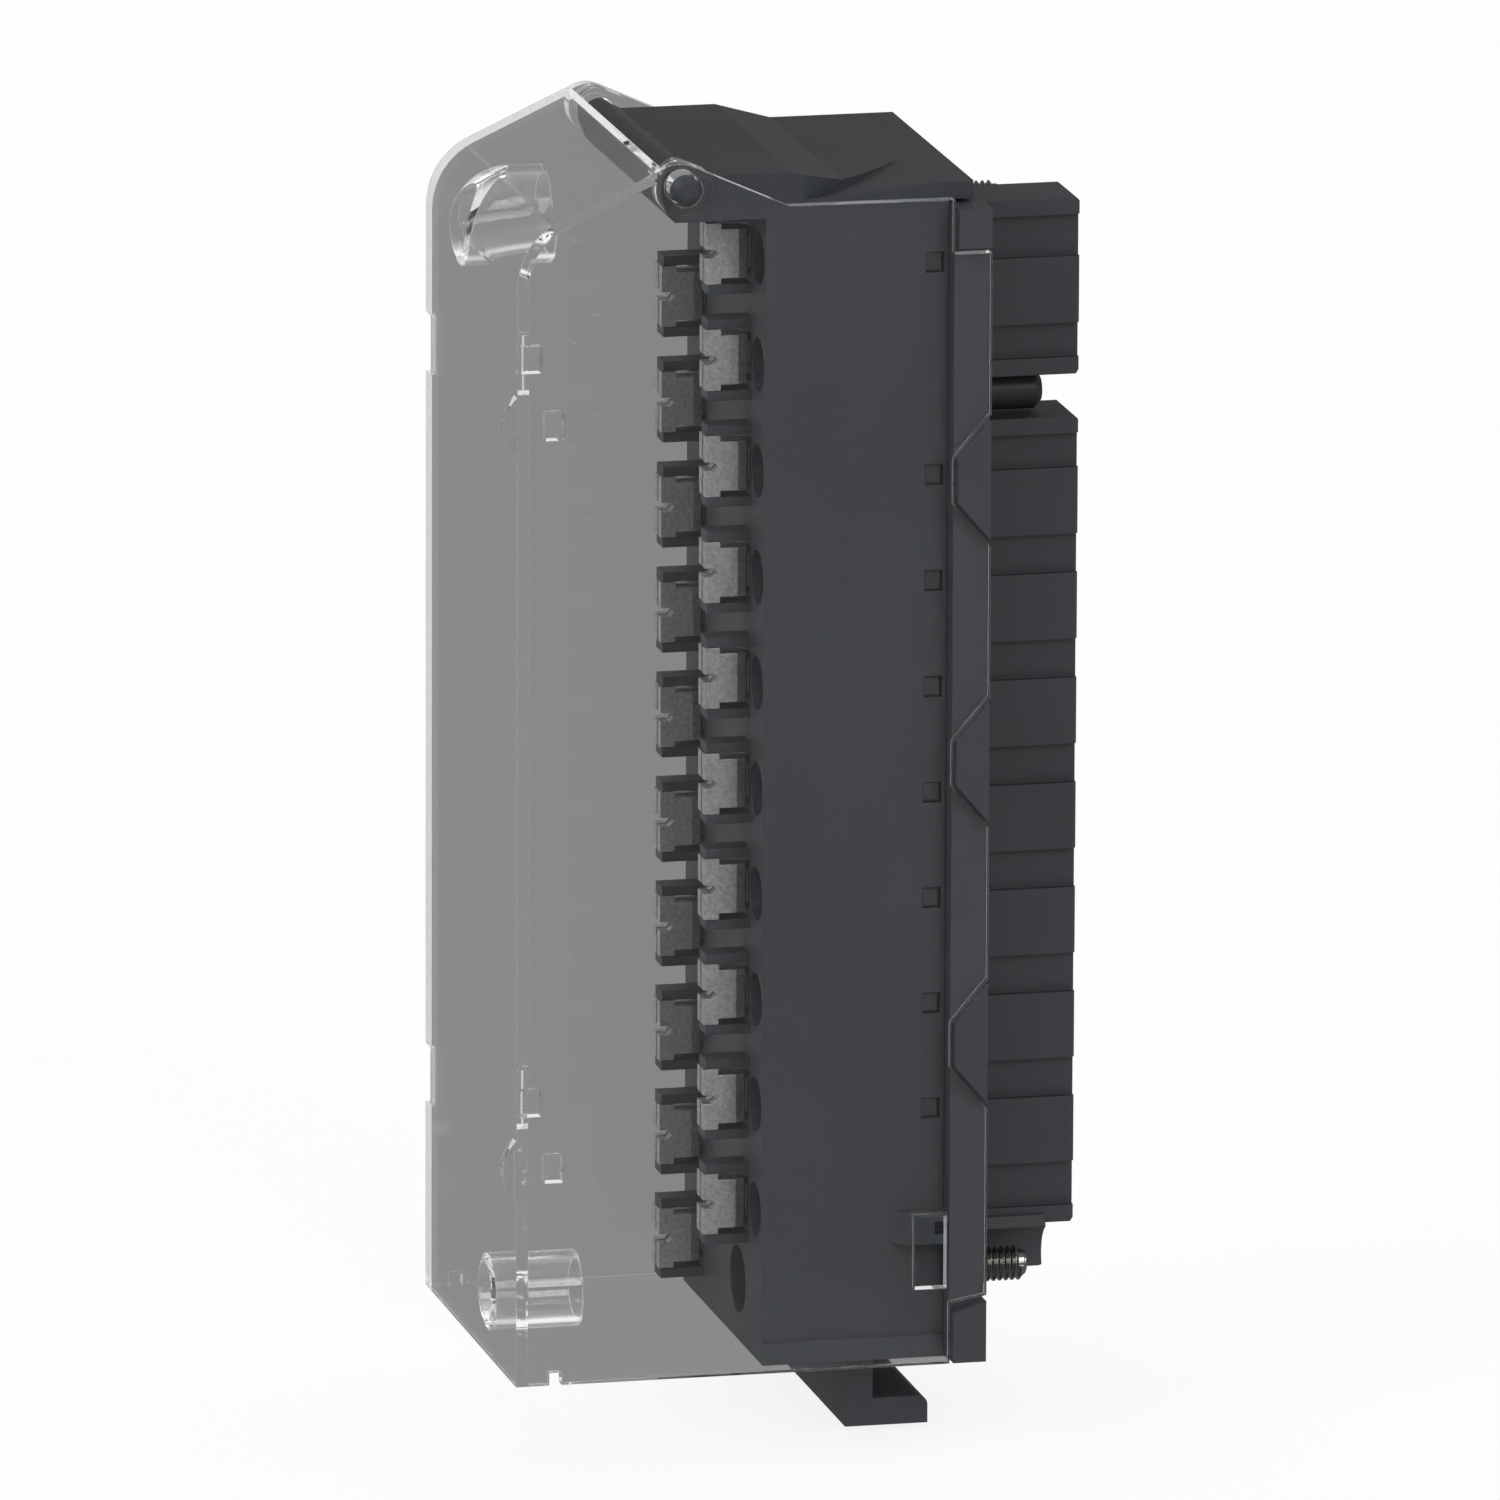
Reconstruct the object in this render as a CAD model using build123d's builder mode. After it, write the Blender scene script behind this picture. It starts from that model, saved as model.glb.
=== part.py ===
"""Removable terminal block with two columns of wire clamps and a hinged clear cover.

Frame: millimetres, +Z up, wires enter from the front (-Y), the plug side is the rear (+Y).
The origin is midway between the two fixing screws, on the rear face of the flange.
"""
from build123d import *
import os

# Terminals
pitch = 7.62
rows = 10
column_drop = 5.95
column_x = 7.0

# Fixing screws, which place the frame
screw_offset = 4.7
screw_inset = 0.425

# Housing block
body_width = 24.4
body_depth = 13.15
foot_margin = 4.0
head_margin = 4.48
plinth_height = 1.6
plinth_step = 0.3

# Screw holes and clamp cheeks on the front face
driver_hole_dia = 3.9
driver_hole_x = 9.9
driver_hole_depth = 7.0
driver_hole_sides = 16
cheek_thickness = 0.68
cheek_length = 3.15

# Wire clamps, folded from strip
clamp_width = 2.0
clamp_reach = 3.3
clamp_slot = 0.4
clamp_slot_length = 2.4
clamp_round = 0.9
clamp_bend = 0.25
clamp_tall = 4.36
clamp_low = 3.5
clamp_lip = 1.08
notch_depth = 0.95
notch_width = 0.64
tail_thickness = 0.6
tail_height = 2.4
tail_length = 5.2

# Clamp screws at the bottom of the driver holes
clamp_screw_dia = 3.7
clamp_screw_length = 3.0
driver_slot_width = 0.7
driver_slot_depth = 0.9

# Roof slab of the housing, its hinge bar and its hollowed corner
slab_underside_drop = 2.08
slab_overhang = 7.1
slab_nose_chamfer = 0.6
roof_rise = 1.12
roof_flat = 2.0
roof_fall_length = 4.0
roof_tail = 1.8
roof_tail_thickness = 1.3
hinge_reach = 6.25
hinge_rise = 0.67
bar_radius = 1.2
bar_lead = 0.2
bar_drop = 0.76
bar_blend = 1.4
bar_blend_angle = 45.0
pin_dia = 2.0
pin_chamfer = 0.45
hollow_start = 2.8
hollow_length = 9.7
hollow_drop = 0.88
hollow_edge_x = 1.85
hollow_bow = 0.75

# Cable-tie bar under the housing
tie_bar_width = 18.0
tie_bar_thickness = 2.0
tie_bar_drop = 5.8
tie_bar_foot = 6.0
tie_bar_setback = 6.9
tie_bar_round = 0.7

# Flange and side lugs of the rear cover
flange_thickness = 2.5
lug_rows = 8 / 3
lug_centre_z = 1.3
lug_mouth = 9.5
lug_floor = 3.3
lug_depth = 2.65
foot_lug_height = 4.4
foot_lug_fall = 0.8
head_lug_height = 2.8
flange_top_gap = 0.25

# Plugs on the rear cover
plug_width = 5.7
plug_waist = 4.5
plug_length = 9.3
plug_chamfer = 0.25
upper_plug_drop = 3.58
lower_plug_rise = 6.75
plug_gap = 3.1
plug_cap = 1.2
band_height = 4.8
first_band_drop = 5.7
plug_bands = 9
guide_band = 1
contact_closing = 0.31
upper_contacts = 4
lower_contacts = 16
cell_width = 2.7
cell_height = 1.45
cell_depth = 7.0

# Guide pin between the plugs
guide_pin_dia = 2.8
guide_pin_length = 7.1
guide_pin_chamfer = 0.5

# Guard tongue beside the lower fixing screw
tongue_radius = 2.5
tongue_wall = 0.9
tongue_length = 7.1
tongue_start_angle = 118.0
tongue_sweep = 82.0

# Snap windows in the housing and hooks on the rear cover
window_width = 1.35
window_height = 1.5
window_setback = 0.3
window_drop = 1.2
window_count = 9
skipped_window = 1
hook_thickness = 0.9
hook_height = 3.0
hook_inset = 1.0
barb_recess = 0.3

# Latch bosses for the clear cover
latch_width = 2.7
latch_height = 2.4
latch_rise = 9.6
latch_ramp = 1.2
latch_pocket = 0.9

# Clear cover
cover_wall = 1.0
cover_space = 1.75
cover_reach = 18.3
corner_height = 4.7
corner_length = 3.0
corner_drop = 5.78
apex_lead = 0.55
apex_rise = 2.15
apex_round = 2.0
valley_run = 7.35
valley_drop = 0.73
ledge_drop = 0.78
shoulder_setback = 2.7
shoulder_drop = 4.68
roof_lead = 1.7
foot_cut_height = 4.85
foot_cut_rise = 0.45
pin_hole_dia = 2.4
pin_boss_dia = 4.0
low_tube_dia = 5.5
low_tube_bore = 4.3
top_tube_dia = 6.4
top_tube_bore = 5.2
tube_length = 6.5
latch_window_width = 2.3
latch_window_height = 5.3
latch_window_setback = 4.05
latch_window_rise = 8.15

# Corner tabs and their notches, which line neighbouring covers up
tab_height = 4.4
tab_proud = 0.95
tab_inset = 11.2
tab_rows = 7
corner_notch_depth = 1.2
corner_notch_width = 1.6
corner_notch_height = 4.3
rib_gap_width = 0.9
rib_gap_height = 0.9
rib_gap_inset = 2.4
slot_width = 1.3
slot_inset = 2.05
slot_height = 2.0
small_window_width = 1.45
small_window_inset = 0.3
small_window_height = 1.9
small_window_rise = 4.8

# Fixing screws
fixing_bore_dia = 4.9
fixing_head_dia = 4.4
fixing_head_height = 2.4
fixing_shank_dia = 1.9
web_bore_dia = 2.05
web_thickness = 1.5
thread_dia = 2.5
thread_length = 5.5
thread_recess_dia = 2.9
point_dia = 1.7
point_length = 0.7
fixing_slot_width = 0.7
fixing_slot_depth = 1.1

# Contacts
socket_wall = 0.3
socket_length = 6.4
contact_tail_width = 1.2
contact_tail_thickness = 0.5
contact_tail_length = 11.5

# Clearances
fit_gap = 0.05
play = 0.1
cover_gap = 0.25
side_gap = 0.3
lug_gap = 0.27

# Places that follow from the sizes above
body_half = body_width / 2
body_rear_y = -flange_thickness - fit_gap
body_front_y = body_rear_y - body_depth
row_half = rows * pitch / 2
body_bottom_z = -row_half - foot_margin
body_top_z = row_half + head_margin
cover_front_y = body_front_y - cover_reach
cover_inner = body_half + cover_space
cover_half = cover_inner + cover_wall
flange_half = cover_inner - cover_gap
flange_top_z = body_top_z - roof_tail_thickness - flange_top_gap
hinge_y = body_front_y - hinge_reach
hinge_z = body_top_z + hinge_rise
upper_screw = (-screw_offset, row_half - screw_inset)
lower_screw = (screw_offset, screw_inset - row_half)
fixing_screws = {"upper": upper_screw, "lower": lower_screw}
first_row_z = row_half - pitch / 2 + column_drop / 2
near_column = [(column_x, first_row_z - pitch * row) for row in range(rows)]
far_column = [(-column_x, first_row_z - column_drop - pitch * row) for row in range(rows)]
terminals = near_column + far_column
near_holes = [(driver_hole_x, z) for _, z in near_column]
far_holes = [(-driver_hole_x, z) for _, z in far_column]
driver_holes = near_holes + far_holes
driver_floor_y = body_front_y + driver_hole_depth
lug_heights = [lug_centre_z + lug_rows * pitch * step for step in (1, 0, -1)]
windows = [row_half - window_drop - pitch * row for row in range(window_count) if row != skipped_window]
window_y = body_rear_y - window_setback - window_width / 2
hook_x = body_half - hook_inset - hook_thickness / 2
band_rows = [row_half - first_band_drop - pitch * row for row in range(plug_bands)]
bands = [z for row, z in enumerate(band_rows) if row != guide_band]
guide_pin_z = band_rows[guide_band]
upper_plug = (guide_pin_z + plug_gap / 2, body_top_z - upper_plug_drop)
lower_plug = (body_bottom_z + lower_plug_rise, guide_pin_z - plug_gap / 2)
contact_pitch = pitch / 2 - contact_closing
contact_heights = [
    (low + high) / 2 + contact_pitch * ((count - 1) / 2 - step)
    for (low, high), count in ((upper_plug, upper_contacts), (lower_plug, lower_contacts))
    for step in range(count)
]
contact_places = [(0, z) for z in contact_heights]
latch_z = body_bottom_z + latch_rise
latch_window_z = body_bottom_z + latch_window_rise
tab_heights = [row_half - tab_inset, row_half - tab_inset - tab_rows * pitch]


def facing_front(y):
    """Plane at depth y with its local x along +X, its local y along +Z and its normal to the front."""
    return Plane.XZ.offset(-y)


# Corner of the roof that is hollowed out behind a curved edge
hollow_front_y = body_front_y + hollow_start
hollow_rear_y = hollow_front_y + hollow_length
hollow_middle = (
    (body_half + hollow_edge_x) / 2 + hollow_bow,
    (hollow_front_y + hollow_rear_y) / 2 + hollow_bow,
)
with BuildPart() as roof_hollow:
    with BuildSketch(Plane.XY.offset(body_top_z - hollow_drop)):
        with BuildLine():
            ThreePointArc((body_half, hollow_front_y), hollow_middle, (hollow_edge_x, hollow_rear_y))
            Polyline((hollow_edge_x, hollow_rear_y), (body_half, hollow_rear_y), (body_half, hollow_front_y))
        make_face()
    extrude(amount=hollow_drop + roof_rise)
    with BuildSketch(Plane.YZ):
        Polygon(
            (hollow_front_y, body_top_z - hollow_drop),
            (hollow_rear_y, body_top_z),
            (hollow_rear_y, body_top_z + roof_rise),
            (hollow_front_y, body_top_z + roof_rise),
            align=None,
        )
    extrude(amount=body_half, mode=Mode.INTERSECT)

# Housing
slab_front_y = body_front_y - slab_overhang
slab_bottom_z = body_top_z - slab_underside_drop
roof_high_z = body_top_z + roof_rise
tail_end_y = body_rear_y + roof_tail
cheek_offset = clamp_tall / 2 + fit_gap + cheek_thickness / 2
tie_front_y = body_front_y + tie_bar_setback
latch_face = cover_inner - side_gap
bar_y = hinge_y - bar_lead
with BuildPart() as housing:
    # Block with its plinth
    with BuildSketch(facing_front(body_front_y)):
        with Locations((0, body_bottom_z)):
            Rectangle(body_width, body_top_z - body_bottom_z, align=(Align.CENTER, Align.MIN))
            Rectangle(body_width + 2 * plinth_step, plinth_height, align=(Align.CENTER, Align.MIN))
    extrude(amount=-body_depth)
    # Roof slab from the hinge bar at the front to the tail over the flange
    with BuildSketch(Plane.YZ):
        with BuildLine():
            bar_arc = CenterArc((bar_y, hinge_z), bar_radius, bar_blend_angle, 180 - bar_blend_angle)
            Polyline(
                bar_arc @ 1,
                (bar_y - bar_radius, hinge_z - bar_drop),
                (slab_front_y, slab_bottom_z + slab_nose_chamfer),
                (slab_front_y + slab_nose_chamfer, slab_bottom_z),
                (body_front_y + roof_flat, slab_bottom_z),
                (body_front_y + roof_flat, body_top_z - roof_tail_thickness),
                (tail_end_y, body_top_z - roof_tail_thickness),
                (tail_end_y, body_top_z),
                (body_front_y + roof_flat + roof_fall_length, body_top_z),
                (body_front_y + roof_flat, roof_high_z),
                (hinge_y + bar_blend, roof_high_z),
                bar_arc @ 0,
            )
        make_face()
    extrude(amount=body_half, both=True)
    add(roof_hollow.part, mode=Mode.SUBTRACT)
    # Hinge pins at the ends of the bar
    for side in (-1, 1):
        with BuildSketch(Plane.YZ.offset(side * body_half)):
            with Locations((hinge_y, hinge_z)):
                Circle(pin_dia / 2)
        extrude(amount=side * (cover_space + cover_wall))
        pin_end = housing.edges().filter_by(GeomType.CIRCLE).sort_by(Axis.X)[-1 if side > 0 else 0]
        chamfer(pin_end, pin_chamfer)
    # Cheeks above and below each clamp
    with BuildSketch(facing_front(body_front_y)):
        for x, z in terminals:
            with Locations((x, z + cheek_offset), (x, z - cheek_offset)):
                Rectangle(clamp_width, cheek_thickness)
    extrude(amount=cheek_length)
    # Latch bosses with a ramp at the front
    for side in (-1, 1):
        with BuildSketch(Plane.XY.offset(latch_z - latch_height / 2)):
            Polygon(
                (side * body_half, body_rear_y - latch_width - latch_ramp),
                (side * latch_face, body_rear_y - latch_width),
                (side * latch_face, body_rear_y),
                (side * body_half, body_rear_y),
                align=None,
            )
        extrude(amount=latch_height)
        with BuildSketch(Plane.YZ.offset(side * latch_face)):
            with Locations((body_rear_y - latch_pocket / 2, latch_z)):
                Rectangle(latch_pocket, latch_pocket)
        extrude(amount=-side * latch_pocket, mode=Mode.SUBTRACT)
    # Cable-tie bar
    with BuildSketch(Plane.YZ):
        with Locations((tie_front_y, body_bottom_z - tie_bar_drop)):
            Rectangle(tie_bar_thickness, tie_bar_drop, align=Align.MIN)
            foot = Rectangle(tie_bar_foot, tie_bar_thickness, align=Align.MIN)
        fillet(foot.vertices().sort_by_distance((tie_front_y, body_bottom_z))[1:], tie_bar_round)
    extrude(amount=tie_bar_width / 2, both=True)
    # Driver holes
    with BuildSketch(facing_front(body_front_y)):
        with Locations(*driver_holes):
            RegularPolygon(driver_hole_dia / 2, driver_hole_sides)
    extrude(amount=-driver_hole_depth, mode=Mode.SUBTRACT)
    # Slots that hold the tails of the clamps and of the contacts
    with BuildSketch(facing_front(body_front_y)):
        with Locations(*terminals):
            Rectangle(tail_thickness + 2 * fit_gap, tail_height + 2 * fit_gap)
    extrude(amount=-tail_length - play, mode=Mode.SUBTRACT)
    with BuildSketch(facing_front(body_rear_y)):
        with Locations(*contact_places):
            Rectangle(contact_tail_width + 2 * fit_gap, contact_tail_thickness + 2 * fit_gap)
    extrude(amount=contact_tail_length - flange_thickness + play, mode=Mode.SUBTRACT)
    # Bores for the fixing screws
    with BuildSketch(facing_front(body_front_y)):
        with Locations(upper_screw, lower_screw):
            Circle(fixing_bore_dia / 2)
    extrude(amount=-body_depth, mode=Mode.SUBTRACT)
    # Snap windows and the pockets of the hooks behind them
    for side in (-1, 1):
        with BuildSketch(Plane.YZ.offset(side * body_half)):
            with Locations(*[(window_y, z) for z in windows]):
                Rectangle(window_width, window_height)
        extrude(amount=-side * hook_inset, mode=Mode.SUBTRACT)
        with BuildSketch(facing_front(body_rear_y)):
            with Locations(*[(side * hook_x, z) for z in windows]):
                Rectangle(hook_thickness + 2 * play, hook_height + 2 * play)
        extrude(amount=window_setback + window_width + play, mode=Mode.SUBTRACT)
housing.part.label = "housing"

# Rear cover with its plugs
flank_rise = (lug_mouth - lug_floor) / 2 / lug_depth
flank_shift = lug_gap * (1 + flank_rise**2) ** 0.5
lug_reach = lug_depth - lug_gap
lug_rear_half = lug_mouth / 2 - flank_shift
lug_front_half = lug_rear_half - lug_reach * flank_rise
waist_step = (plug_width - plug_waist) / 2
with BuildPart() as rear_cover:
    with BuildSketch(facing_front(0)):
        with Locations((0, body_bottom_z)):
            Rectangle(2 * flange_half, flange_top_z - body_bottom_z, align=(Align.CENTER, Align.MIN))
    extrude(amount=flange_thickness)
    # Lugs that fill the gaps in the rear edges of the clear cover
    with BuildSketch(Plane.YZ.offset(-cover_half)):
        for z in lug_heights:
            Polygon(
                (0, z - lug_rear_half),
                (0, z + lug_rear_half),
                (-lug_reach, z + lug_front_half),
                (-lug_reach, z - lug_front_half),
                align=None,
            )
        Polygon(
            (0, body_bottom_z),
            (0, body_bottom_z + foot_lug_height),
            (-lug_reach, body_bottom_z + foot_lug_height - foot_lug_fall),
            (-lug_reach, body_bottom_z),
            align=None,
        )
        with Locations((0, flange_top_z)):
            Rectangle(lug_reach, head_lug_height, align=Align.MAX)
    extrude(amount=2 * cover_half)
    # Plugs with a narrow waist between their bands
    with BuildSketch(facing_front(0)):
        for low, high in (upper_plug, lower_plug):
            with Locations((0, (low + high) / 2)):
                Rectangle(plug_width, high - low)
    extrude(amount=-plug_length)
    chamfer(rear_cover.faces().filter_by(Plane.XZ).sort_by(Axis.Y)[-2:].edges(), plug_chamfer)
    with BuildSketch(facing_front(0)):
        for low, high in (upper_plug, lower_plug):
            with Locations((plug_width / 2, (low + high) / 2), (-plug_width / 2, (low + high) / 2)):
                Rectangle(2 * waist_step, high - low - 2 * plug_cap)
        for side in (-1, 1):
            with Locations(*[(side * plug_width / 2, z) for z in bands]):
                Rectangle(2 * waist_step, band_height, mode=Mode.SUBTRACT)
    extrude(amount=-plug_length, mode=Mode.SUBTRACT)
    # Cells of the contacts
    with BuildSketch(facing_front(plug_length)):
        with Locations(*contact_places):
            Rectangle(cell_width, cell_height)
    extrude(amount=cell_depth, mode=Mode.SUBTRACT)
    with BuildSketch(facing_front(plug_length)):
        with Locations(*contact_places):
            Rectangle(contact_tail_width + 2 * fit_gap, contact_tail_thickness + 2 * fit_gap)
    extrude(amount=plug_length + flange_thickness, mode=Mode.SUBTRACT)
    # Guard tongue beside the lower screw
    with BuildSketch(facing_front(0)):
        with BuildLine():
            tongue = CenterArc(lower_screw, tongue_radius, tongue_start_angle, tongue_sweep)
            outer = CenterArc(lower_screw, tongue_radius + tongue_wall, tongue_start_angle, tongue_sweep)
            Line(tongue @ 0, outer @ 0)
            Line(tongue @ 1, outer @ 1)
        make_face()
    extrude(amount=-tongue_length)
    # Holes for the fixing screws and the guide pin
    with BuildSketch(facing_front(0)):
        with Locations(upper_screw, lower_screw):
            Circle(web_bore_dia / 2)
        with Locations((0, guide_pin_z)):
            Circle(guide_pin_dia / 2 + fit_gap)
    extrude(amount=flange_thickness, mode=Mode.SUBTRACT)
    with BuildSketch(facing_front(0)):
        with Locations(upper_screw, lower_screw):
            Circle(thread_recess_dia / 2)
    extrude(amount=flange_thickness - web_thickness, mode=Mode.SUBTRACT)
    # Hooks that snap into the windows of the housing
    for side in (-1, 1):
        with BuildSketch(facing_front(-flange_thickness)):
            with Locations(*[(side * hook_x, z) for z in windows]):
                Rectangle(hook_thickness, hook_height)
        extrude(amount=window_setback + window_width)
        with BuildSketch(Plane.YZ.offset(side * (hook_x + hook_thickness / 2))):
            with Locations(*[(window_y - fit_gap, z) for z in windows]):
                Rectangle(window_width - 2 * play, window_height - 2 * play)
        extrude(amount=side * (hook_inset - barb_recess))
rear_cover.part.label = "rear_cover"

# Outline of the clear cover, seen from the side
corner_start_z = body_top_z - corner_drop
corner_end_y = cover_front_y + corner_length
corner_end_z = corner_start_z + corner_height
apex_y = hinge_y - apex_lead
apex_z = hinge_z + apex_rise
roof_end_y = hinge_y - roof_lead
shoulder_z = body_top_z - shoulder_drop
with BuildSketch(Plane.YZ) as side_outline:
    with BuildLine():
        Line((cover_front_y, body_bottom_z), (cover_front_y, corner_start_z))
        corner = TangentArc((cover_front_y, corner_start_z), (corner_end_y, corner_end_z), tangent=(0, 1))
        Polyline(
            corner @ 1,
            (apex_y, apex_z),
            (hinge_y + valley_run, body_top_z - valley_drop),
            (-shoulder_setback, body_top_z - ledge_drop),
            (-shoulder_setback, shoulder_z),
            (0, shoulder_z),
            (0, body_bottom_z + foot_cut_height),
            (-lug_depth, body_bottom_z + foot_cut_height - foot_cut_rise),
            (-lug_depth, body_bottom_z),
            (cover_front_y, body_bottom_z),
        )
    make_face()
    fillet(side_outline.vertices().sort_by(Axis.Y)[-1], apex_round)
with BuildPart() as cover_block:
    extrude(side_outline.sketch, amount=cover_half, both=True)

# Clear cover
inner_front_y = cover_front_y + cover_wall
inner_corner_z = corner_end_z - cover_wall
roof_fall = (apex_z - corner_end_z) / (apex_y - corner_end_y)
tubes = ((upper_screw, top_tube_dia, top_tube_bore), (lower_screw, low_tube_dia, low_tube_bore))
with BuildPart() as clear_cover:
    add(cover_block.part)
    # Inside, open to the rear, to the bottom and above the hinge
    with BuildSketch(Plane.YZ):
        with BuildLine():
            Line((inner_front_y, body_bottom_z), (inner_front_y, corner_start_z))
            inner_corner = TangentArc(
                (inner_front_y, corner_start_z), (corner_end_y, inner_corner_z), tangent=(0, 1)
            )
            Polyline(
                inner_corner @ 1,
                (roof_end_y, inner_corner_z + roof_fall * (roof_end_y - corner_end_y)),
                (roof_end_y, apex_z),
                (0, apex_z),
                (0, body_bottom_z),
                (inner_front_y, body_bottom_z),
            )
        make_face()
    extrude(amount=cover_inner, both=True, mode=Mode.SUBTRACT)
    # Bosses on the inside round the hinge pins
    for side in (-1, 1):
        with BuildSketch(Plane.YZ.offset(side * cover_inner)):
            with Locations((hinge_y, hinge_z)):
                Circle(pin_boss_dia / 2)
        extrude(amount=-side * (cover_space - side_gap))
    # Tubes that lead a screwdriver to the fixing screws
    for place, outer_dia, bore_dia in tubes:
        with BuildSketch(facing_front(cover_front_y)):
            with Locations(place):
                Circle(outer_dia / 2)
        extrude(amount=-tube_length)
    add(cover_block.part, mode=Mode.INTERSECT)
    for place, outer_dia, bore_dia in tubes:
        with BuildSketch(facing_front(cover_front_y)):
            with Locations(place):
                Circle(bore_dia / 2)
        extrude(amount=-tube_length, mode=Mode.SUBTRACT)
    # Gaps in the rear edges, holes for the hinge pins and windows for the latches
    with BuildSketch(Plane.YZ):
        for z in lug_heights:
            Polygon(
                (0, z - lug_mouth / 2),
                (0, z + lug_mouth / 2),
                (-lug_depth, z + lug_floor / 2),
                (-lug_depth, z - lug_floor / 2),
                align=None,
            )
        with Locations((hinge_y, hinge_z)):
            Circle(pin_hole_dia / 2)
        with Locations((-latch_window_setback, latch_window_z)):
            Rectangle(latch_window_width, latch_window_height)
        with Locations((cover_front_y + rib_gap_inset, body_bottom_z)):
            Rectangle(rib_gap_width, 2 * rib_gap_height, align=(Align.MIN, Align.CENTER))
    extrude(amount=cover_half, both=True, mode=Mode.SUBTRACT)
    # Tabs on the near front corner
    with BuildSketch(Plane.YZ.offset(cover_inner)):
        for z in tab_heights:
            with BuildLine():
                tab_arc = ThreePointArc(
                    (cover_front_y, z - tab_height / 2),
                    (cover_front_y - tab_proud, z),
                    (cover_front_y, z + tab_height / 2),
                )
                Line(tab_arc @ 0, tab_arc @ 1)
            make_face()
    extrude(amount=cover_wall)
    # Windows beside the tabs
    with BuildSketch(Plane.YZ.offset(cover_inner)):
        with Locations(*[(cover_front_y + slot_inset, z) for z in tab_heights]):
            Rectangle(slot_width, slot_height, align=(Align.MIN, Align.CENTER))
        with Locations(*[(cover_front_y + small_window_inset, z + small_window_rise) for z in tab_heights]):
            Rectangle(small_window_width, small_window_height, align=(Align.MIN, Align.CENTER))
    extrude(amount=cover_wall, mode=Mode.SUBTRACT)
    # Notches on the far front corner, which take a neighbour's tabs
    with BuildSketch(facing_front(cover_front_y)):
        with Locations(*[(-cover_half, z) for z in tab_heights]):
            Rectangle(corner_notch_width, corner_notch_height, align=(Align.MIN, Align.CENTER))
    extrude(amount=-corner_notch_depth, mode=Mode.SUBTRACT)
clear_cover.part.label = "clear_cover"

# Wire clamp, folded so that its open side faces the wire
clamp_front_y = body_front_y - clamp_reach
clamp_rear_y = body_front_y - fit_gap
with BuildPart() as clamp:
    with BuildSketch():
        with BuildLine():
            Polyline(
                (-clamp_width / 2, clamp_rear_y - clamp_round),
                (-clamp_width / 2, clamp_front_y),
                (clamp_width / 2, clamp_front_y),
                (clamp_width / 2, clamp_rear_y - clamp_round),
                (clamp_width / 2 - clamp_bend, clamp_rear_y - clamp_bend),
                (clamp_width / 2 - clamp_round, clamp_rear_y),
                (clamp_round - clamp_width / 2, clamp_rear_y),
                (clamp_bend - clamp_width / 2, clamp_rear_y - clamp_bend),
                (-clamp_width / 2, clamp_rear_y - clamp_round),
            )
        make_face()
        with Locations((0, clamp_front_y)):
            Rectangle(clamp_slot, clamp_slot_length, align=(Align.CENTER, Align.MIN), mode=Mode.SUBTRACT)
    extrude(amount=clamp_tall / 2, both=True)
    # The strip is lower behind its front lip
    with BuildSketch(Plane.YZ):
        Polygon(
            (clamp_front_y, clamp_tall / 2),
            (clamp_front_y + clamp_lip, clamp_tall / 2),
            (clamp_front_y + clamp_lip, clamp_low / 2),
            (body_front_y, clamp_low / 2),
            (body_front_y, -clamp_low / 2),
            (clamp_front_y + clamp_lip, -clamp_low / 2),
            (clamp_front_y + clamp_lip, -clamp_tall / 2),
            (clamp_front_y, -clamp_tall / 2),
            (clamp_front_y, -notch_width / 2),
            (clamp_front_y + notch_depth - notch_width / 2, -notch_width / 2),
            (clamp_front_y + notch_depth, 0),
            (clamp_front_y + notch_depth - notch_width / 2, notch_width / 2),
            (clamp_front_y, notch_width / 2),
            align=None,
        )
    extrude(amount=clamp_width / 2, both=True, mode=Mode.INTERSECT)
    # Tail that is pushed into the housing
    with BuildSketch(facing_front(clamp_rear_y)):
        Rectangle(tail_thickness, tail_height)
    extrude(amount=-tail_length)

# Clamp screw, which fills the bottom of its driver hole
with BuildPart() as clamp_screw:
    with BuildSketch(facing_front(driver_floor_y - fit_gap)):
        RegularPolygon(clamp_screw_dia / 2, driver_hole_sides)
    extrude(amount=clamp_screw_length)
    with BuildSketch(facing_front(driver_floor_y - fit_gap - clamp_screw_length)):
        Rectangle(clamp_screw_dia, driver_slot_width)
    extrude(amount=-driver_slot_depth, mode=Mode.SUBTRACT)

# Contact: a folded socket with a flat tail
socket_width = cell_width - 2 * fit_gap
socket_height = cell_height - 2 * fit_gap
socket_front_y = plug_length - cell_depth + fit_gap
with BuildPart() as contact:
    with BuildSketch(facing_front(socket_front_y)):
        Rectangle(socket_width, socket_height)
        Rectangle(socket_width - 2 * socket_wall, socket_height - 2 * socket_wall, mode=Mode.SUBTRACT)
    extrude(amount=-socket_length)
    with BuildSketch(facing_front(socket_front_y)):
        Rectangle(socket_width, socket_height)
    extrude(amount=-socket_wall)
    with BuildSketch(facing_front(socket_front_y)):
        Rectangle(contact_tail_width, contact_tail_thickness)
    extrude(amount=contact_tail_length)

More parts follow.
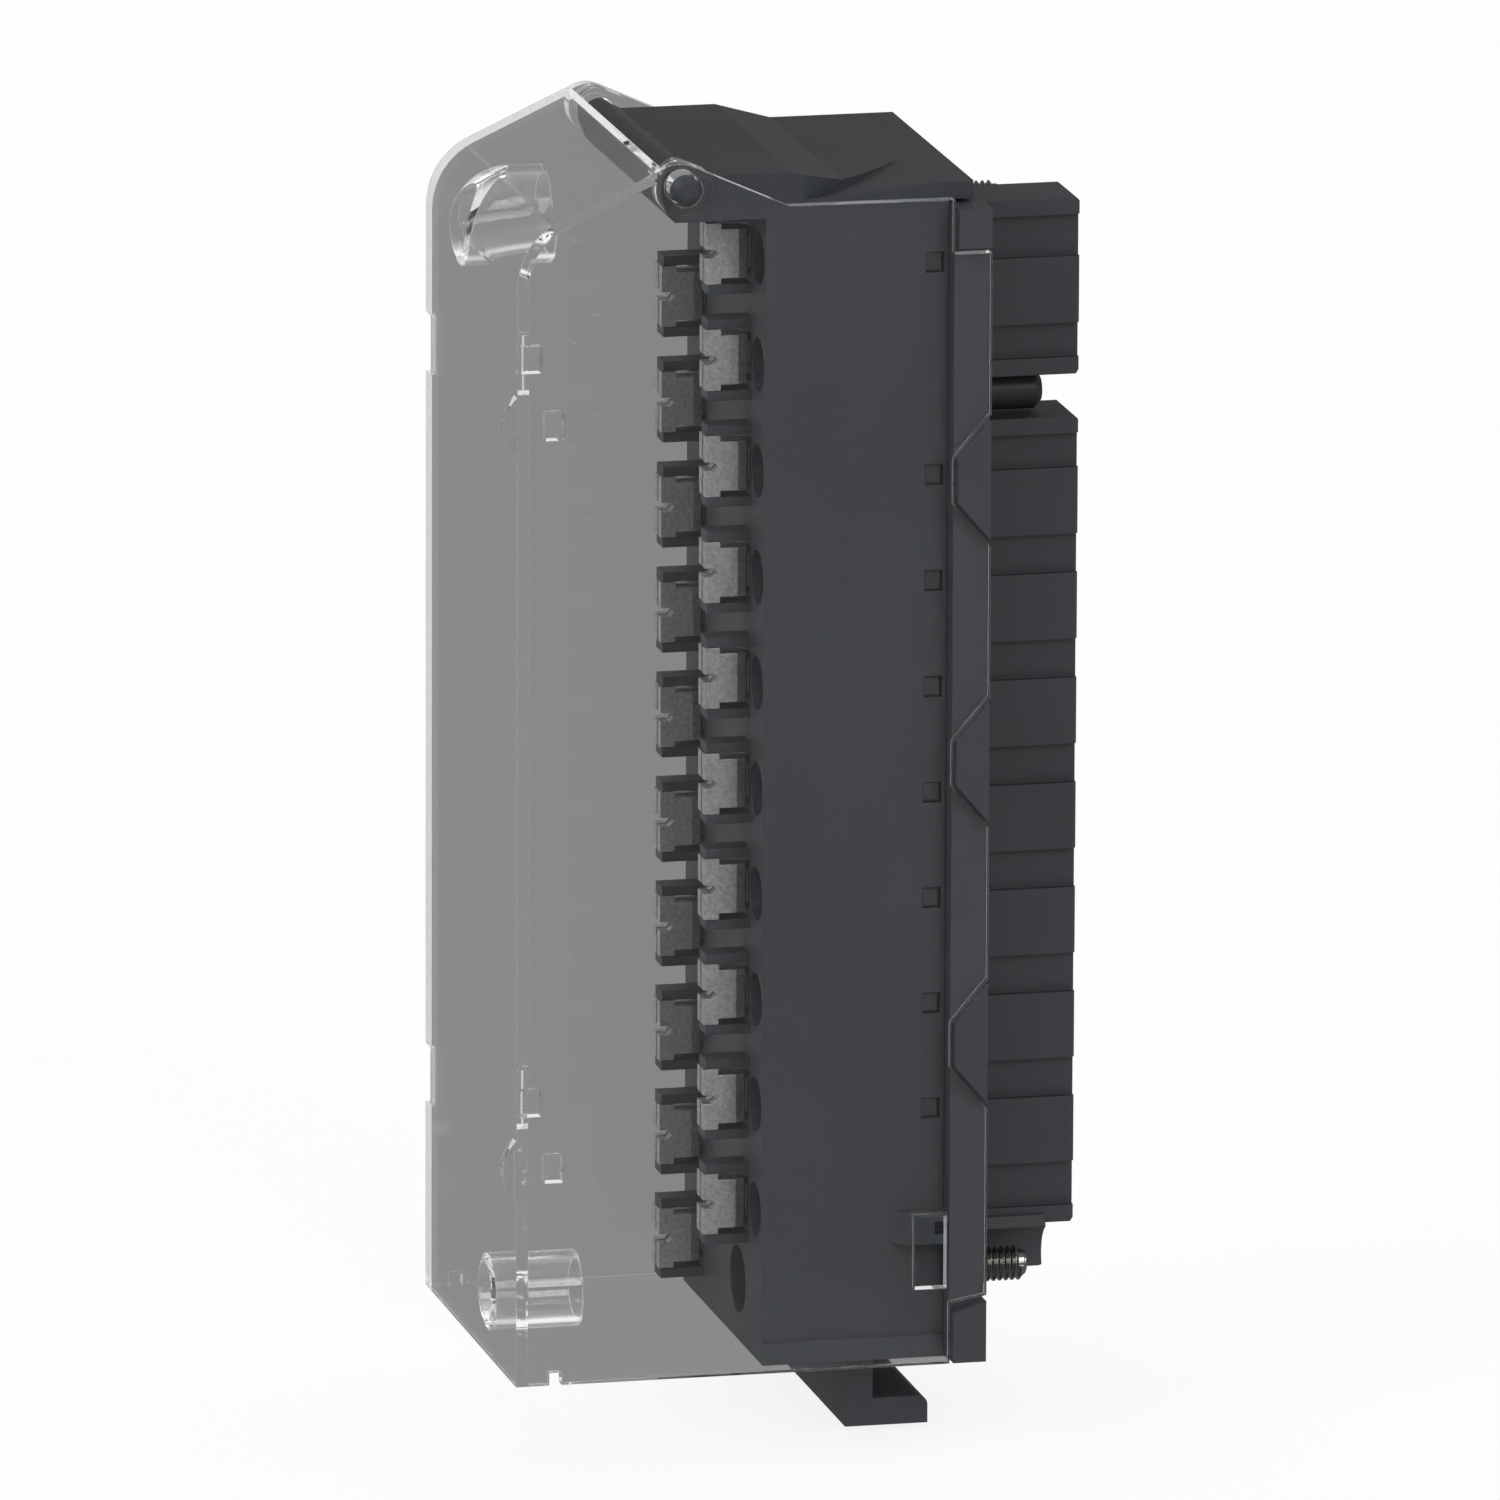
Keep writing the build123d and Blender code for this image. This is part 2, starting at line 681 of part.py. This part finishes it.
# Fixing screw, held in the flange by its thread
head_front_y = -flange_thickness - play - fixing_head_height
thread_front_y = web_thickness - flange_thickness + play
point_front_y = thread_front_y + thread_length
with BuildPart() as fixing_screw:
    with BuildSketch(Plane.XY):
        Polygon(
            (0, head_front_y),
            (fixing_head_dia / 2, head_front_y),
            (fixing_head_dia / 2, head_front_y + fixing_head_height),
            (fixing_shank_dia / 2, head_front_y + fixing_head_height),
            (fixing_shank_dia / 2, thread_front_y),
            (thread_dia / 2, thread_front_y),
            (thread_dia / 2, point_front_y),
            (point_dia / 2, point_front_y + (thread_dia - point_dia) / 2),
            (point_dia / 2, point_front_y + point_length),
            (0, point_front_y + point_length),
            align=None,
        )
    revolve(axis=Axis.Y)
    with BuildSketch(facing_front(head_front_y)):
        Rectangle(fixing_head_dia, fixing_slot_width)
    extrude(amount=-fixing_slot_depth, mode=Mode.SUBTRACT)

# Guide pin, pressed into the flange
with BuildPart() as guide_pin:
    with BuildSketch(facing_front(-flange_thickness)):
        with Locations((0, guide_pin_z)):
            Circle(guide_pin_dia / 2)
    extrude(amount=-flange_thickness - guide_pin_length)
    chamfer(guide_pin.edges().filter_by(GeomType.CIRCLE).sort_by(Axis.Y)[-1], guide_pin_chamfer)
guide_pin.part.label = "guide_pin"

# One STEP file for each node
os.makedirs("parts", exist_ok=True)
for piece in (housing, rear_cover, clear_cover, guide_pin):
    export_step(piece.part, f"parts/{piece.part.label}.step")
for number, (x, z) in enumerate(terminals, 1):
    wire_clamp = clamp.part.moved(Location((x, 0, z)))
    wire_clamp.label = f"wire_clamp_{number:02d}"
    export_step(wire_clamp, f"parts/{wire_clamp.label}.step")
for number, z in enumerate(contact_heights, 1):
    plug_contact = contact.part.moved(Location((0, 0, z)))
    plug_contact.label = f"contact_{number:02d}"
    export_step(plug_contact, f"parts/{plug_contact.label}.step")
for name, (x, z) in fixing_screws.items():
    screw = fixing_screw.part.moved(Location((x, 0, z)))
    screw.label = f"{name}_fixing_screw"
    export_step(screw, f"parts/{screw.label}.step")
clamp_screws = Compound(
    label="clamp_screws",
    children=[clamp_screw.part.moved(Location((x, 0, z))) for x, z in driver_holes],
)
export_step(clamp_screws, "parts/clamp_screws.step")
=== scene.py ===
"""Studio scene of a removable terminal block with a clear hinged cover."""

from math import cos, pi, radians, sin

import bmesh
import bpy
from mathutils import Matrix, Vector


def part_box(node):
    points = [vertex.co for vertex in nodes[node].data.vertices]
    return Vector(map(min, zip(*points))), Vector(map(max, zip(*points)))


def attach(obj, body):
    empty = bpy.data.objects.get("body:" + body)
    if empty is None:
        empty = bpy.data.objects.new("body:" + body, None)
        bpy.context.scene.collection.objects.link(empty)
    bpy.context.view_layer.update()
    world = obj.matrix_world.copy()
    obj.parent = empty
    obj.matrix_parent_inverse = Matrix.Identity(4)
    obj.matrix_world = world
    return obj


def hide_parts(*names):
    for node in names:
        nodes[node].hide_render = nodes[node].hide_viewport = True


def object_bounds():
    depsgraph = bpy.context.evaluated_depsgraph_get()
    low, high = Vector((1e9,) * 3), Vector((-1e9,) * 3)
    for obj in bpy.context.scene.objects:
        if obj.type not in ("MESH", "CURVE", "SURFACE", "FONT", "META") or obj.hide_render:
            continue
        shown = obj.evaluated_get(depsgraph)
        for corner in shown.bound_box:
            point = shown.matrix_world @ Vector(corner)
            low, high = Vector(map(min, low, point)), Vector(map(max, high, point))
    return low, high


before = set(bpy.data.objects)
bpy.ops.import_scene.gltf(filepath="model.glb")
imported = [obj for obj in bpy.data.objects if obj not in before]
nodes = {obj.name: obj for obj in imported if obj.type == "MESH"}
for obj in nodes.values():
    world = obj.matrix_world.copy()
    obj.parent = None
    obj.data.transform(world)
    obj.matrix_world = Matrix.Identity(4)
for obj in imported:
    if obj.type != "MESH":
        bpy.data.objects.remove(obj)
cad_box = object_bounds()
scene = bpy.context.scene
MM = 0.001

# Pieces that come in numbers
wire_clamps = [name for name in nodes if name.startswith("wire_clamp_")]
contacts = [name for name in nodes if name.startswith("contact_")]


def set_inputs(tree, node, inputs):
    """Gives each named input of a node its value, or a link where a socket is given."""
    for name, given in inputs.items():
        if isinstance(given, bpy.types.NodeSocket):
            tree.links.new(given, node.inputs[name])
        else:
            node.inputs[name].default_value = given


def add_node(tree, kind, inputs):
    """New node with its inputs set or linked."""
    node = tree.nodes.new(kind)
    set_inputs(tree, node, inputs)
    return node


def new_material(name):
    """Material with its node tree and its main shader."""
    material = bpy.data.materials.new(name)
    material.use_nodes = True
    tree = material.node_tree
    return material, tree, tree.nodes["Principled BSDF"]


def set_surface(tree, surface):
    """Makes a shader the surface of its material."""
    tree.links.new(surface, tree.nodes["Material Output"].inputs["Surface"])


def noise(tree, scale, detail, roughness=0.55):
    """Noise over the places on the object. scale counts its waves in a metre."""
    places = tree.nodes.new("ShaderNodeTexCoord").outputs["Object"]
    texture = add_node(tree, "ShaderNodeTexNoise", {
        "Vector": places, "Scale": scale, "Detail": detail, "Roughness": roughness,
    })
    return texture.outputs["Fac"]


def stretched(tree, source, start, end, low, high, interpolation="LINEAR"):
    """Value that goes from low to high while its source goes from start to end."""
    node = add_node(tree, "ShaderNodeMapRange", {
        "Value": source, "From Min": start, "From Max": end, "To Min": low, "To Max": high,
    })
    node.interpolation_type = interpolation
    return node.outputs["Result"]


def mottled(tree, source, colour, contrast, start, end):
    """Colour that goes from darker to lighter while its source goes from start to end."""
    node = add_node(tree, "ShaderNodeValToRGB", {"Fac": source})
    dark, light = 1.0 - contrast, 1.0 + contrast
    for stop, position, factor in zip(node.color_ramp.elements, (start, end), (dark, light)):
        stop.position = position
        stop.color = (*(part * factor for part in colour), 1.0)
    return node.outputs["Color"]


# Small rounding of the edges that moulding, stamping and polishing leave
MOULDED_EDGE = 0.12 * MM
STAMPED_EDGE = 0.06 * MM
POLISHED_EDGE = 0.08 * MM
EDGE_SAMPLES = 6


def bumped(tree, source, strength, depth, edge):
    """Normals with a relief of the given depth, and with rounded edges."""
    rounding = add_node(tree, "ShaderNodeBevel", {"Radius": edge})
    rounding.samples = EDGE_SAMPLES
    relief = add_node(tree, "ShaderNodeBump", {
        "Strength": strength, "Distance": depth, "Height": source, "Normal": rounding.outputs["Normal"],
    })
    return relief.outputs["Normal"]


def grained_plastic(name, colour, rough, grain_size, grain_depth):
    """Moulded plastic with a fine spark-eroded grain and a faintly cloudy colour."""
    material, tree, shader = new_material(name)
    grain = noise(tree, 1.0 / grain_size, detail=4.0)
    cloud = noise(tree, 60.0, detail=2.0)
    set_inputs(tree, shader, {
        "Base Color": mottled(tree, cloud, colour, contrast=0.05, start=0.35, end=0.65),
        "Roughness": stretched(tree, grain, 0.0, 1.0, rough - 0.06, rough + 0.08),
        "IOR": 1.5,
        "Specular IOR Level": 0.35,
        "Normal": bumped(tree, grain, strength=0.3, depth=grain_depth, edge=MOULDED_EDGE),
    })
    return material


def plated_metal(name, colour, rough, speck_size, speck_contrast, metallic):
    """Plated strip or screw steel with a speckled surface."""
    material, tree, shader = new_material(name)
    specks = noise(tree, 1.0 / speck_size, detail=5.0, roughness=0.7)
    set_inputs(tree, shader, {
        "Base Color": mottled(tree, specks, colour, speck_contrast, start=0.3, end=0.7),
        "Roughness": stretched(tree, specks, 0.0, 1.0, rough - 0.08, rough + 0.1),
        "Metallic": metallic,
        "Normal": bumped(tree, specks, strength=0.25, depth=0.01 * MM, edge=STAMPED_EDGE),
    })
    return material


def clear_plastic(name):
    """Clear polished moulding with very slight flow waves, which the lamps shine straight through."""
    material, tree, shader = new_material(name)
    waves = noise(tree, 120.0, detail=1.0)
    set_inputs(tree, shader, {
        "Base Color": (0.97, 0.975, 0.98, 1.0),
        "Roughness": 0.0,
        "Transmission Weight": 1.0,
        "IOR": 1.36,
        "Normal": bumped(tree, waves, strength=0.02, depth=0.02 * MM, edge=POLISHED_EDGE),
    })
    lamp_light = add_node(tree, "ShaderNodeBsdfTransparent", {"Color": (0.9, 0.9, 0.9, 1.0)})
    rays = tree.nodes.new("ShaderNodeLightPath")
    surface = add_node(tree, "ShaderNodeMixShader", {
        "Fac": rays.outputs["Is Shadow Ray"], 1: shader.outputs["BSDF"], 2: lamp_light.outputs["BSDF"],
    })
    set_surface(tree, surface.outputs["Shader"])
    return material


dark_moulding = grained_plastic(
    "dark_moulding", (0.0335, 0.0375, 0.0425), rough=0.5, grain_size=0.25 * MM, grain_depth=0.006 * MM,
)
dark_plug_moulding = grained_plastic(
    "dark_plug_moulding", (0.0365, 0.04, 0.0455), rough=0.52, grain_size=0.25 * MM, grain_depth=0.006 * MM,
)
glossy_black_pin = grained_plastic(
    "glossy_black_pin", (0.024, 0.025, 0.027), rough=0.42, grain_size=0.4 * MM, grain_depth=0.001 * MM,
)
clamp_strip = plated_metal(
    "clamp_strip", (0.47, 0.462, 0.45), rough=0.42, speck_size=0.3 * MM, speck_contrast=0.3, metallic=0.9,
)
tinned_contact = plated_metal(
    "tinned_contact", (0.55, 0.5, 0.4), rough=0.35, speck_size=0.4 * MM, speck_contrast=0.15, metallic=0.9,
)
zinc_screw = plated_metal(
    "zinc_screw", (0.5, 0.5, 0.48), rough=0.35, speck_size=0.4 * MM, speck_contrast=0.15, metallic=0.9,
)
bright_thread = plated_metal(
    "bright_thread", (0.34, 0.335, 0.32), rough=0.2, speck_size=0.3 * MM, speck_contrast=0.1, metallic=1.0,
)
clear_moulding = clear_plastic("clear_moulding")


def dress(names, material):
    """Gives CAD nodes their finish."""
    for name in names:
        for slot in nodes[name].material_slots:
            slot.material = material


dress(["housing"], dark_moulding)
dress(["rear_cover"], dark_plug_moulding)
dress(["guide_pin"], glossy_black_pin)
dress(["clear_cover"], clear_moulding)
dress(["clamp_screws"], zinc_screw)
dress(wire_clamps, clamp_strip)
dress(contacts, tinned_contact)

# Fixing screws with a real thread
THREAD_RADIUS = 1.25 * MM
THREAD_PITCH = 0.45 * MM
THREAD_DEPTH = 0.27 * MM
THREAD_TURNS = 12
CREST_START, CREST_END = 0.45 * THREAD_PITCH, 0.55 * THREAD_PITCH
CORE_RADIUS = THREAD_RADIUS - THREAD_DEPTH
CORE_OVERLAP = 0.3 * THREAD_PITCH
SHANK_RADIUS = 0.95 * MM
SHANK_OVERLAP = 0.7 * THREAD_PITCH
POINT_RADIUS = 0.85 * MM
POINT_LENGTH = 0.7 * MM
POINT_ROUND = 0.2 * MM
HEAD_LENGTH = 2.4 * MM
HEAD_CHAMFER = 0.2 * MM
SLOT_DEPTH = 1.1 * MM
SLOT_WIDTH = 0.7 * MM
SCREW_STEPS = 32
MERGE_DISTANCE = 0.004 * MM


def spun(bm, outline, rise=0.0):
    """Spins an outline of radius and Y round the Y axis, with a rise in Y over the turn for a thread."""
    verts = [bm.verts.new((radius, y, 0.0)) for radius, y in outline]
    edges = [bm.edges.new(pair) for pair in zip(verts, verts[1:])]
    bmesh.ops.spin(
        bm, geom=verts + edges, cent=(0, 0, 0), axis=(0, -1, 0), angle=2 * pi, steps=SCREW_STEPS,
        dvec=(0, rise / SCREW_STEPS, 0), use_merge=rise == 0.0, use_duplicate=False,
    )


def only(kind, geometry):
    """Parts of one kind out of what an operator made."""
    return [part for part in geometry if isinstance(part, kind)]


def half_head(bm, radius, front, side):
    """Half of the head's slotted end, above the slot where side is 1 and below it where side is -1."""
    upright = Matrix.Translation((0, front, 0)) @ Matrix.Rotation(pi / 2, 4, "X")
    disc = bmesh.ops.create_circle(bm, cap_ends=True, radius=radius, segments=2 * SCREW_STEPS, matrix=upright)
    face = disc["verts"][0].link_faces[0]
    half = bmesh.ops.bisect_plane(
        bm, geom=[face, *face.edges, *face.verts], plane_co=(0, 0, side * SLOT_WIDTH / 2),
        plane_no=(0, 0, side), clear_inner=True,
    )
    raised = bmesh.ops.extrude_face_region(bm, geom=only(bmesh.types.BMFace, half["geom"]))
    bmesh.ops.translate(bm, verts=only(bmesh.types.BMVert, raised["geom"]), vec=(0, SLOT_DEPTH, 0))


def thread(bm, start):
    """Helical thread. A spun row of teeth makes it: after a full turn each tooth meets the next one."""
    teeth = []
    for turn in range(THREAD_TURNS):
        tooth = start + turn * THREAD_PITCH
        crest = [(THREAD_RADIUS, tooth + CREST_START), (THREAD_RADIUS, tooth + CREST_END)]
        teeth += [(CORE_RADIUS, tooth), *crest]
    teeth.append((CORE_RADIUS, start + THREAD_TURNS * THREAD_PITCH))
    spun(bm, teeth, rise=THREAD_PITCH)
    bmesh.ops.remove_doubles(bm, verts=bm.verts, dist=MERGE_DISTANCE)
    bmesh.ops.holes_fill(bm, edges=[edge for edge in bm.edges if edge.is_boundary], sides=0)


def make_piece(bm, name, material, body):
    """Turns a closed mesh into a piece that rides on a body."""
    bmesh.ops.remove_doubles(bm, verts=bm.verts, dist=MERGE_DISTANCE)
    bmesh.ops.recalc_face_normals(bm, faces=bm.faces)
    mesh = bpy.data.meshes.new(name)
    bm.to_mesh(mesh)
    bm.free()
    mesh.materials.append(material)
    piece = bpy.data.objects.new(name, mesh)
    scene.collection.objects.link(piece)
    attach(piece, body)
    return piece


def threaded_screw(name, body):
    """Slotted head, shank, helical thread and plain point, in the place of the CAD screw."""
    low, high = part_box(name)
    head_radius = (high.x - low.x) / 2
    head_front, point_end = low.y, high.y
    slot_bottom = head_front + SLOT_DEPTH
    head_end = head_front + HEAD_LENGTH
    thread_end = point_end - POINT_LENGTH
    thread_start = thread_end - THREAD_TURNS * THREAD_PITCH
    shank_end = thread_start + SHANK_OVERLAP
    core_start = thread_end - CORE_OVERLAP
    point_start = thread_end + THREAD_PITCH
    bm = bmesh.new()
    thread(bm, thread_start)
    spun(bm, [
        (0.0, slot_bottom),
        (head_radius, slot_bottom),
        (head_radius, head_end - HEAD_CHAMFER),
        (head_radius - HEAD_CHAMFER, head_end),
        (SHANK_RADIUS, head_end),
        (SHANK_RADIUS, shank_end),
        (0.0, shank_end),
    ])
    spun(bm, [
        (0.0, core_start),
        (CORE_RADIUS, core_start),
        (CORE_RADIUS, point_start),
        (POINT_RADIUS, point_start + POINT_ROUND / 4),
        (POINT_RADIUS, point_end - POINT_ROUND / 2),
        (POINT_RADIUS - POINT_ROUND, point_end),
        (0.0, point_end),
    ])
    for side in (1, -1):
        half_head(bm, head_radius, head_front, side)
    bmesh.ops.translate(bm, verts=bm.verts, vec=((low.x + high.x) / 2, 0, (low.z + high.z) / 2))
    screw = make_piece(bm, f"{name}_threaded", bright_thread, body)
    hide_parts(name)


threaded_screw("upper_fixing_screw", "upper_screw")
threaded_screw("lower_fixing_screw", "lower_screw")

# Surroundings: white to the eye, grey boards at both sides in the clear cover, a dark room in reflections
WHITE = 1.0
SCATTERED = 0.95
BOARD = 0.262
BOARD_START, BOARD_END = 0.6, 0.88
DARK_ROOM = 0.2
ROOM_START, ROOM_END = -0.3, 0.3


def emission(tree, strength):
    """Plain white glow."""
    return add_node(tree, "ShaderNodeEmission", {"Strength": strength}).outputs["Emission"]


def surroundings(tree):
    """Glow that depends on the kind of ray and on how much of its direction is sideways, from -1 to 1."""
    direction = tree.nodes.new("ShaderNodeTexCoord").outputs["Generated"]
    sideways = add_node(tree, "ShaderNodeSeparateXYZ", {"Vector": direction}).outputs["X"]
    unsigned = add_node(tree, "ShaderNodeMath", {0: sideways})
    unsigned.operation = "ABSOLUTE"
    to_either_side = unsigned.outputs["Value"]
    boards = stretched(tree, to_either_side, BOARD_START, BOARD_END, WHITE, BOARD, "SMOOTHSTEP")
    room = stretched(tree, sideways, ROOM_START, ROOM_END, DARK_ROOM, BOARD, "SMOOTHSTEP")
    rays = tree.nodes.new("ShaderNodeLightPath")
    glow = emission(tree, boards)
    for kind, strength in [
        ("Is Reflection Ray", room),
        ("Is Singular Ray", boards),
        ("Is Transmission Ray", boards),
        ("Diffuse Depth", SCATTERED),
        ("Is Camera Ray", WHITE),
    ]:
        choice = add_node(tree, "ShaderNodeMixShader", {
            "Fac": rays.outputs[kind], 1: glow, 2: emission(tree, strength),
        })
        glow = choice.outputs["Shader"]
    return glow


world = bpy.data.worlds.new("studio")
world.use_nodes = True
world.cycles.sampling_method = "NONE"
world_tree = world.node_tree
world_tree.links.new(surroundings(world_tree), world_tree.nodes["World Output"].inputs["Surface"])
scene.world = world

# Bounces for the light that the clear cover leads along its walls
BOUNCES = 24
scene.cycles.max_bounces = scene.cycles.glossy_bounces = scene.cycles.transmission_bounces = BOUNCES

# Floor that glows white and takes a faint shadow, and that the cover neither shows nor reflects
FLOOR_REACH = 6.0
FLOOR_GAP = 0.5 * MM
PAPER_SHARE = 0.15


def floor_paper():
    """White glow, with a share of real paper for the eye so that shadows show."""
    material, tree, shader = new_material("floor_paper")
    set_inputs(tree, shader, {
        "Base Color": (0.8, 0.8, 0.8, 1.0), "Roughness": 0.9, "Specular IOR Level": 0.0,
    })
    rays = tree.nodes.new("ShaderNodeLightPath")
    share = add_node(tree, "ShaderNodeMath", {0: rays.outputs["Is Camera Ray"], 1: PAPER_SHARE})
    share.operation = "MULTIPLY"
    paper = add_node(tree, "ShaderNodeMixShader", {
        "Fac": share.outputs["Value"], 1: emission(tree, WHITE), 2: shader.outputs["BSDF"],
    })
    set_surface(tree, paper.outputs["Shader"])
    material.cycles.emission_sampling = "NONE"
    return material


def studio_floor():
    """Large level sheet just under the block."""
    bm = bmesh.new()
    bmesh.ops.create_grid(bm, x_segments=1, y_segments=1, size=FLOOR_REACH)
    lowest = cad_box[0][2]
    bmesh.ops.translate(bm, verts=bm.verts, vec=(0, 0, lowest - FLOOR_GAP))
    mesh = bpy.data.meshes.new("studio_floor")
    bm.to_mesh(mesh)
    bm.free()
    mesh.materials.append(floor_paper())
    floor = bpy.data.objects.new("studio_floor", mesh)
    floor.visible_glossy = False
    floor.visible_transmission = False
    scene.collection.objects.link(floor)


def softbox(name, place, size, power):
    """Rectangular light aimed at the block."""
    data = bpy.data.lights.new(name, "AREA")
    data.shape = "RECTANGLE"
    data.size, data.size_y = size
    data.energy = power
    light = bpy.data.objects.new(name, data)
    light.location = place
    light.rotation_euler = (-Vector(place)).to_track_quat("-Z", "Y").to_euler()
    scene.collection.objects.link(light)


studio_floor()
softbox("side_softbox", place=(1.25, 0.35, 0.75), size=(0.3, 0.6), power=4.0)
softbox("front_softbox", place=(0.5, -1.3, 0.9), size=(0.5, 0.5), power=5.0)
softbox("back_softbox", place=(-0.9, 0.9, 0.7), size=(0.4, 0.4), power=1.5)

# Camera at the photograph's viewpoint
CAMERA_PLACE = Vector((1.568993, -0.379299, 0.374442))
AZIMUTH = radians(76.8866)
ELEVATION = radians(13.1007)
ROLL = radians(0.2096)
SENSOR_WIDTH = 36.0
LENS = 561.43
CLIP_START, CLIP_END = 0.05, 30.0


def photograph_camera():
    """Long lens turned to its azimuth and elevation, and rolled a little about its own axis."""
    data = bpy.data.cameras.new("camera")
    data.sensor_width = SENSOR_WIDTH
    data.lens = LENS
    data.clip_start, data.clip_end = CLIP_START, CLIP_END
    back = Vector((sin(AZIMUTH) * cos(ELEVATION), -cos(AZIMUTH) * cos(ELEVATION), sin(ELEVATION)))
    level_right = (-back).cross(Vector((0, 0, 1))).normalized()
    level_up = level_right.cross(-back)
    right = level_right * cos(ROLL) + level_up * sin(ROLL)
    up = level_up * cos(ROLL) - level_right * sin(ROLL)
    camera = bpy.data.objects.new("camera", data)
    camera.matrix_world = Matrix.Translation(CAMERA_PLACE) @ Matrix((right, up, back)).transposed().to_4x4()
    scene.collection.objects.link(camera)
    return camera


bpy.context.scene.camera = photograph_camera()
scene.view_settings.view_transform = "Standard"
